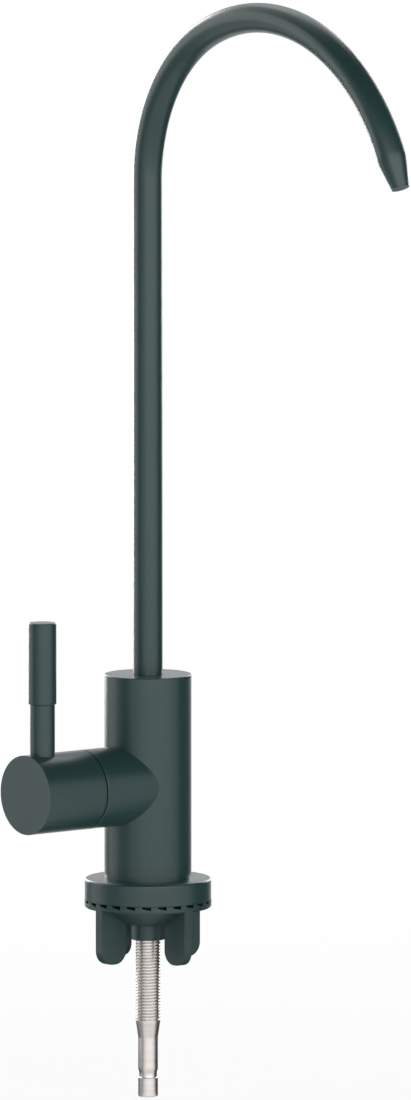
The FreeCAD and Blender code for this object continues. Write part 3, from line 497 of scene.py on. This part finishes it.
def make_casing():
    """The upright body with a crisp top edge, and its branch, the mouth rounded off beside the seam."""
    bm = merged_copy("valve_body")
    low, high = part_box("valve_body")
    chamfer_foot = high.z - BODY_CHAMFER * MM
    top_reach = (BODY_RADIUS - BODY_CHAMFER) * MM - MERGE_DISTANCE
    side_reach = BODY_RADIUS * MM - MERGE_DISTANCE
    for vert in bm.verts:
        reach = vert.co.xy.length
        if vert.co.z > high.z - MERGE_DISTANCE and reach > top_reach:
            vert.co.xy *= (BODY_RADIUS - CRISP_CHAMFER) * MM / reach
        elif abs(vert.co.z - chamfer_foot) < MERGE_DISTANCE and reach > side_reach:
            vert.co.z = high.z - CRISP_CHAMFER * MM
    mouth_centre = Vector((low.x, 0, BRANCH_HEIGHT * MM))
    mouth_reach = BRANCH_DIAMETER / 2 * MM - MERGE_DISTANCE
    rim_verts = {vert for vert in bm.verts if vert.co.x < low.x + MERGE_DISTANCE
                 and (vert.co - mouth_centre).length > mouth_reach}
    rim = [edge for edge in bm.edges if rim_verts.issuperset(edge.verts)]
    bmesh.ops.bevel(bm, geom=rim, offset=SEAM_ROUNDING * MM, offset_type="OFFSET", affect="EDGES",
                    segments=SEAM_STEPS, profile=0.5, material=-1)
    casing = finish(bm, "casing_shell", "casing", "dark_coating", "valve_body")
    soften_edges(casing, CASING_EDGE)


def make_flange():
    """The round foot, with the seat for the body's foot above and the gasket's groove below."""
    foot, top = height_of("base_flange")
    rim = FLANGE_DIAMETER / 2
    seat = FOOT_RADIUS + FITTED_PLAY
    groove_bore = GASKET_BORE_RADIUS - FITTED_PLAY
    groove_rim = GASKET_RADIUS + FITTED_PLAY
    bm = turned([
        (FLANGE_HOLE_RADIUS, foot, BROKEN_EDGE),
        (groove_bore, foot, GASKET_GROOVE_EDGE),
        (groove_bore, foot + GASKET_THICKNESS, 0),
        (groove_rim, foot + GASKET_THICKNESS, 0),
        (groove_rim, foot, GASKET_GROOVE_EDGE),
        (rim, foot, FLANGE_FOOT_EDGE),
        (rim, top, FLANGE_TOP_EDGE),
        (seat, top, BROKEN_EDGE),
        (seat, FOOT_SEAT_HEIGHT, 0),
        (FLANGE_HOLE_RADIUS, FOOT_SEAT_HEIGHT, 0)])
    finish(bm, "flange_ring", "casing", "dark_coating", "base_flange")


def tube_wall(bm, radius, stops):
    """One wall of the spout: up the column, round both arcs and down the nozzle. A stop is a share of the
    nozzle's length and the radius there. Gives the wall's two end loops."""
    start = Matrix.Translation(Z_AXIS * TUBE_START * MM)
    circle = bmesh.ops.create_circle(bm, segments=TUBE_SIDES, radius=radius * MM, matrix=start)
    first = list(dict.fromkeys(edge for vert in circle["verts"] for edge in vert.link_edges))
    risen = bmesh.ops.extrude_edge_only(bm, edges=first)["geom"]
    bmesh.ops.translate(bm, verts=verts_of(risen), vec=Z_AXIS * (ARCH_START - TUBE_START) * MM)
    loop = edges_of(risen)
    arcs = ((NEAR_REACH, ARCH_START, NEAR_TURN), (FAR_REACH, FAR_HEIGHT, ARCH_TURN - NEAR_TURN))
    for reach, height, turn in arcs:
        spun = bmesh.ops.spin(bm, geom=ends_of(loop) + loop, axis=X_AXIS, cent=(0, -reach * MM, height * MM),
                              dvec=(0, 0, 0), angle=math.radians(turn), steps=round(turn / ARCH_STEP))
        loop = edges_of(spun["geom_last"])
    down = Matrix.Rotation(math.radians(ARCH_TURN), 3, "X") @ Z_AXIS
    ring = ends_of(loop)
    centre = sum((vert.co for vert in ring), Vector()) / len(ring)
    gone = 0.0
    now = radius
    for share, wanted in stops:
        grown = bmesh.ops.extrude_edge_only(bm, edges=loop)["geom"]
        ring = verts_of(grown)
        loop = edges_of(grown)
        step = down * (share - gone) * NOZZLE_LENGTH * MM
        bmesh.ops.translate(bm, verts=ring, vec=step)
        centre += step
        for vert in ring:
            vert.co = centre + (vert.co - centre) * (wanted / now)
        gone = share
        now = wanted
    return first, loop


def make_spout():
    """The gooseneck tube with its tapered nozzle and the seat at the mouth."""
    bm = bmesh.new()
    outer = SPOUT_RADIUS - SPOUT_PLAY
    taper = [(share, outer + (NOZZLE_TIP_RADIUS - outer) * narrowing) for share, narrowing in NOZZLE_TAPER]
    bore = [(MOUTH_SEAT_SHARE, NOZZLE_BORE_RADIUS), (MOUTH_SEAT_SHARE, MOUTH_RADIUS), (1.0, MOUTH_RADIUS)]
    outer_start, outer_tip = tube_wall(bm, outer, taper)
    inner_start, inner_tip = tube_wall(bm, SPOUT_RADIUS - SPOUT_WALL, bore)
    bmesh.ops.bridge_loops(bm, edges=outer_start + inner_start)
    bmesh.ops.bridge_loops(bm, edges=outer_tip + inner_tip)
    bmesh.ops.recalc_face_normals(bm, faces=bm.faces)
    finish(bm, "gooseneck", "spout", "dark_coating", "spout_tube")


def make_drum():
    """The turning drum, and the slim ring at the seam with the lip that closes it to light."""
    drum = finish(merged_copy("handle_hub"), "handle_drum", "handle", "dark_coating", "handle_hub")
    soften_edges(drum, DRUM_EDGE)
    outer = BRANCH_DIAMETER / 2
    seam, far_end = reach_of("hub_ring")
    lip = RING_BORE_RADIUS + SEAM_LIP_WIDTH
    ring = turned([
        (RING_BORE_RADIUS, seam - SEAM_LIP, 0),
        (lip, seam - SEAM_LIP, 0),
        (lip, seam, 0),
        (outer, seam, SEAM_ROUNDING),
        (outer, far_end, RING_EDGE),
        (RING_BORE_RADIUS, far_end, RING_BORE_EDGE)])
    ring.transform(on_branch())
    finish(ring, "drum_ring", "handle", "dark_coating", "hub_ring")


def make_lever():
    """The rod that stands on the drum, and the thicker sleeve on its upper half."""
    place = Matrix.Translation(X_AXIS * LEVER_PLACE * MM)
    foot, rod_top = height_of("lever_rod")
    sleeve_foot, sleeve_top = height_of("lever_grip")
    shoulder = foot + TENON_LENGTH
    rod = turned([
        (0, foot, 0),
        (TENON_RADIUS, foot, TENON_EDGE),
        (TENON_RADIUS, shoulder, 0),
        (ROD_RADIUS, shoulder, 0),
        (ROD_RADIUS, sleeve_foot, ROD_EDGE),
        (TENON_RADIUS, sleeve_foot, 0),
        (TENON_RADIUS, rod_top, TENON_EDGE),
        (0, rod_top, 0)])
    rod.transform(place)
    finish(rod, "lever_pin", "handle", "dark_coating", "lever_rod")
    bore = TENON_RADIUS + FITTED_PLAY
    bore_top = rod_top + FITTED_PLAY
    sleeve = turned([
        (bore, sleeve_foot, 0),
        (SLEEVE_RADIUS, sleeve_foot, SLEEVE_EDGE),
        (SLEEVE_RADIUS, sleeve_top, SLEEVE_EDGE),
        (0, sleeve_top, 0),
        (0, bore_top, 0),
        (bore, bore_top, 0)])
    sleeve.transform(place)
    finish(sleeve, "lever_sleeve", "handle", "dark_coating", "lever_grip")


def make_thread_ridge(low, turns):
    """A right-handed ridge round the shank: one turn spun, then repeated upwards and joined."""
    ridge = bmesh.new()
    root = THREAD_ROOT - THREAD_SINK
    corners = ((root, -THREAD_PITCH / 2), (THREAD_CREST, -CREST_WIDTH / 2), (THREAD_CREST, CREST_WIDTH / 2),
               (root, THREAD_PITCH / 2))
    verts = [ridge.verts.new((radius * MM, 0, (low + rise) * MM)) for radius, rise in corners]
    edges = [ridge.edges.new(pair) for pair in zip(verts, verts[1:])]
    bmesh.ops.spin(ridge, geom=verts + edges, axis=Z_AXIS, cent=(0, 0, 0),
                   dvec=Z_AXIS * THREAD_PITCH * MM / THREAD_STEPS, angle=FULL_TURN, steps=THREAD_STEPS)
    turn = ridge.verts[:] + ridge.edges[:] + ridge.faces[:]
    for number in range(1, turns):
        copied = bmesh.ops.duplicate(ridge, geom=turn)["geom"]
        bmesh.ops.translate(ridge, verts=verts_of(copied), vec=Z_AXIS * number * THREAD_PITCH * MM)
    bmesh.ops.remove_doubles(ridge, verts=ridge.verts, dist=MERGE_DISTANCE)
    bmesh.ops.holes_fill(ridge, edges=ridge.edges, sides=4)
    bmesh.ops.recalc_face_normals(ridge, faces=ridge.faces)
    return ridge


def make_shank():
    """The hollow shank: a plain stem with a groove, a cone and a core that carries the thread's ridge."""
    foot, top = height_of("shank")
    core = turned([
        (SHANK_BORE_RADIUS, foot, BROKEN_EDGE),
        (STEM_RADIUS, foot, STEM_END_EDGE),
        (STEM_RADIUS, STEM_GROOVE_LOW, STEM_GROOVE_EDGE),
        (STEM_GROOVE_RADIUS, STEM_GROOVE_LOW, STEM_GROOVE_CORNER),
        (STEM_GROOVE_RADIUS, STEM_GROOVE_HIGH, STEM_GROOVE_BEND),
        (STEM_RADIUS, STEM_SHOULDER, STEM_SHOULDER_EDGE),
        (STEM_RADIUS, CONE_LOW, CONE_FOOT_BEND),
        (THREAD_CREST, THREAD_LOW, BROKEN_EDGE),
        (THREAD_ROOT, THREAD_LOW + THREAD_LEAD_IN, THREAD_ROOT_BEND),
        (THREAD_ROOT, top, BROKEN_EDGE),
        (SHANK_BORE_RADIUS, top, 0)])
    ridge_low = THREAD_LOW + THREAD_LEAD_IN / 2
    ridge = make_thread_ridge(ridge_low, turns=math.floor((top - ridge_low) / THREAD_PITCH) - 1)
    mesh = bpy.data.meshes.new("thread_ridge")
    ridge.to_mesh(mesh)
    ridge.free()
    core.from_mesh(mesh)
    bpy.data.meshes.remove(mesh)
    finish(core, "threaded_shank", "casing", "stainless", "shank", sharp=25)


def make_clamping_pieces():
    """The saw-toothed washer and the hand nut, their edges rounded as moulded plastic is."""
    washer = finish(merged_copy("toothed_washer"), "saw_washer", "washer", "black_plastic", "toothed_washer")
    soften_edges(washer, WASHER_EDGE, segments=2)
    nut = finish(merged_copy("wing_nut"), "hand_nut", "nut", "black_plastic", "wing_nut")
    soften_edges(nut, WING_EDGE, segments=4)


make_casing()
make_flange()
make_spout()
make_drum()
make_lever()
make_shank()
make_clamping_pieces()


# Stage: floor, world, lamps and camera

right = Vector((math.cos(VIEW_AZIMUTH), math.sin(VIEW_AZIMUTH), 0))
towards_camera = Vector((math.sin(VIEW_AZIMUTH), -math.cos(VIEW_AZIMUTH), 0))
target = right * VIEW_SHIFT_RIGHT * MM + Z_AXIS * VIEW_HEIGHT * MM


def add_reach(tree, vector, direction):
    """How far a vector reaches along a direction."""
    dot = tree.nodes.new("ShaderNodeVectorMath")
    dot.operation = "DOT_PRODUCT"
    tree.links.new(vector, dot.inputs[0])
    dot.inputs[1].default_value = direction
    return dot.outputs["Value"]


def add_ceiling(tree, way):
    """How bright a ray finds the light patch of ceiling, which lies back, left and up."""
    forwards, sideways, upwards = LEFT_CEILING_WAY
    middle = (towards_camera * forwards + right * sideways + Z_AXIS * upwards).normalized()
    return add_range(tree, add_reach(tree, way, middle), *LEFT_CEILING_EDGE, 0.0, 1.0)


def add_wall(tree, bearing, first, last, level):
    """How bright a wall between two bearings is, fading out beyond both."""
    middle = math.radians(first + last) / 2
    half = math.radians(last - first) / 2
    beside = add_math(tree, "WRAP", add_math(tree, "SUBTRACT", bearing, middle), math.pi, -math.pi)
    beside = add_math(tree, "ABSOLUTE", beside)
    return add_range(tree, beside, half, half + math.radians(WALL_FADE), level, 0.0)


def studio_level(tree, vector):
    """How bright a mirrored ray finds the studio: its walls, the ceiling patch, or shade."""
    unit = tree.nodes.new("ShaderNodeVectorMath")
    unit.operation = "NORMALIZE"
    tree.links.new(vector, unit.inputs[0])
    way = unit.outputs["Vector"]
    bearing = add_math(tree, "ARCTAN2", add_reach(tree, way, right), add_reach(tree, way, towards_camera))
    level = add_range(tree, add_reach(tree, way, -towards_camera), *BACK_WALL_EDGE, SHADE_LEVEL, 1.0)
    level = add_math(tree, "MAXIMUM", level, add_ceiling(tree, way))
    below_top = add_range(tree, add_reach(tree, way, Z_AXIS), *WALL_TOP_EDGE, 1.0, 0.0)
    for first, last, white in STUDIO_WALLS:
        wall = add_wall(tree, bearing, first, last, white)
        level = add_math(tree, "MAXIMUM", level, add_math(tree, "MULTIPLY", wall, below_top))
    return level


def seen_as_background(tree, mirrored_level):
    """White for the camera, and a level of its own for mirrored and see-through rays."""
    path = tree.nodes.new("ShaderNodeLightPath")
    mirrored = add_math(tree, "MAXIMUM", path.outputs["Is Glossy Ray"], path.outputs["Is Transmission Ray"])
    strength = add_math(tree, "MULTIPLY", mirrored, mirrored_level)
    strength = add_math(tree, "MAXIMUM", strength, path.outputs["Is Camera Ray"])
    return strength, add_math(tree, "MAXIMUM", mirrored, path.outputs["Is Camera Ray"])


def make_floor():
    """A pale floor that shows as white, keeps a soft shadow and has painted shade in what it mirrors at the
    object's foot.
    """
    bm = bmesh.new()
    bmesh.ops.create_grid(bm, x_segments=1, y_segments=1, size=FLOOR_REACH)
    bmesh.ops.translate(bm, verts=bm.verts, vec=Z_AXIS * (cad_box[0].z - FLOOR_GAP))
    mesh = bpy.data.meshes.new("floor")
    bm.to_mesh(mesh)
    bm.free()
    floor = bpy.data.objects.new("floor", mesh)
    bpy.context.scene.collection.objects.link(floor)
    material, tree, shader = new_material(
        "pale_floor", FLOOR_COLOUR, FLOOR_ROUGHNESS, specular=FLOOR_SPECULAR)
    place = tree.nodes.new("ShaderNodeTexCoord").outputs["Object"]
    forwards = add_reach(tree, place, towards_camera)
    sideways_square = add_math(tree, "POWER", add_reach(tree, place, right), 2.0)
    forwards_square = add_math(tree, "POWER", forwards, 2.0)
    away = add_math(tree, "SQRT", add_math(tree, "ADD", sideways_square, forwards_square))
    in_front = add_math(tree, "DIVIDE", forwards, away)
    # Painted shade: the floor's mirrored level is dimmed round the foot, except in front of it
    floor_clear_of_painted_shade = add_math(tree, "MAXIMUM", add_range(tree, away, *FOOT_SHADE_EDGE, 0.0, 1.0),
                          add_range(tree, in_front, *FOOT_FRONT_EDGE, 0.0, 1.0))
    mirrored_level = add_math(tree, "MULTIPLY", studio_level(tree, place), floor_clear_of_painted_shade)
    strength, share = seen_as_background(tree, mirrored_level)
    glow = tree.nodes.new("ShaderNodeEmission")
    tree.links.new(strength, glow.inputs["Strength"])
    mix = tree.nodes.new("ShaderNodeMixShader")
    glow_share = add_range(tree, away, *FLOOR_FADE_EDGE, FLOOR_GLOW_SHARE, 1.0)
    tree.links.new(add_math(tree, "MULTIPLY", share, glow_share), mix.inputs["Fac"])
    tree.links.new(shader.outputs["BSDF"], mix.inputs[1])
    tree.links.new(glow.outputs["Emission"], mix.inputs[2])
    tree.links.new(mix.outputs["Shader"], tree.nodes["Material Output"].inputs["Surface"])
    mesh.materials.append(material)


def make_world():
    """White for the camera, the studio for mirrored rays, and a low even level for all others."""
    world = bpy.data.worlds.new("studio")
    bpy.context.scene.world = world
    world.use_nodes = True
    tree = world.node_tree
    ambient = tree.nodes["Background"]
    ambient.inputs["Color"].default_value = WHITE
    ambient.inputs["Strength"].default_value = AMBIENT_LEVEL
    white = tree.nodes.new("ShaderNodeBackground")
    white.inputs["Color"].default_value = WHITE
    direction = tree.nodes.new("ShaderNodeTexCoord").outputs["Generated"]
    strength, share = seen_as_background(tree, studio_level(tree, direction))
    tree.links.new(strength, white.inputs["Strength"])
    mix = tree.nodes.new("ShaderNodeMixShader")
    tree.links.new(share, mix.inputs["Fac"])
    tree.links.new(ambient.outputs["Background"], mix.inputs[1])
    tree.links.new(white.outputs["Background"], mix.inputs[2])
    tree.links.new(mix.outputs["Shader"], tree.nodes["World Output"].inputs["Surface"])


def make_lamp(name, bearing, height, distance, width, tall, power):
    """A soft panel aimed at the object: bearing in degrees to the right of the camera, metres and watts."""
    data = bpy.data.lights.new(name, "AREA")
    data.shape = "RECTANGLE"
    data.size = width
    data.size_y = tall
    data.energy = power
    lamp = bpy.data.objects.new(name, data)
    bpy.context.scene.collection.objects.link(lamp)
    angle = math.radians(bearing)
    outward = towards_camera * math.cos(angle) + right * math.sin(angle)
    lamp.location = target + outward * distance + Z_AXIS * height
    lamp.rotation_euler = (target - lamp.location).to_track_quat("-Z", "Y").to_euler()


def make_camera():
    """The camera at the photograph's angle, aimed at a point to the right of the body's axis."""
    data = bpy.data.cameras.new("camera")
    data.lens = LENS_LENGTH
    data.clip_end = VIEW_FAR_END
    camera = bpy.data.objects.new("camera", data)
    bpy.context.scene.collection.objects.link(camera)
    back = towards_camera * math.cos(VIEW_ELEVATION) + Z_AXIS * math.sin(VIEW_ELEVATION)
    camera.location = target + back * VIEW_DISTANCE
    camera.rotation_euler = (-back).to_track_quat("-Z", "Y").to_euler()
    bpy.context.scene.camera = camera


make_floor()
make_world()
make_lamp("key_panel", bearing=20, height=0.42, distance=1.6, width=3.0, tall=1.6, power=21)
make_lamp("left_panel", bearing=-105, height=0.42, distance=1.6, width=1.2, tall=1.3, power=5)
make_lamp("left_back_panel", bearing=-150, height=0.1, distance=1.2, width=0.5, tall=1.1, power=11)
make_lamp("right_back_panel", bearing=150, height=0.42, distance=1.6, width=0.9, tall=1.1, power=12)
make_lamp("back_top_panel", bearing=180, height=1.3, distance=1.0, width=1.2, tall=1.0, power=6)
make_camera()
bpy.context.scene.view_settings.view_transform = "Standard"
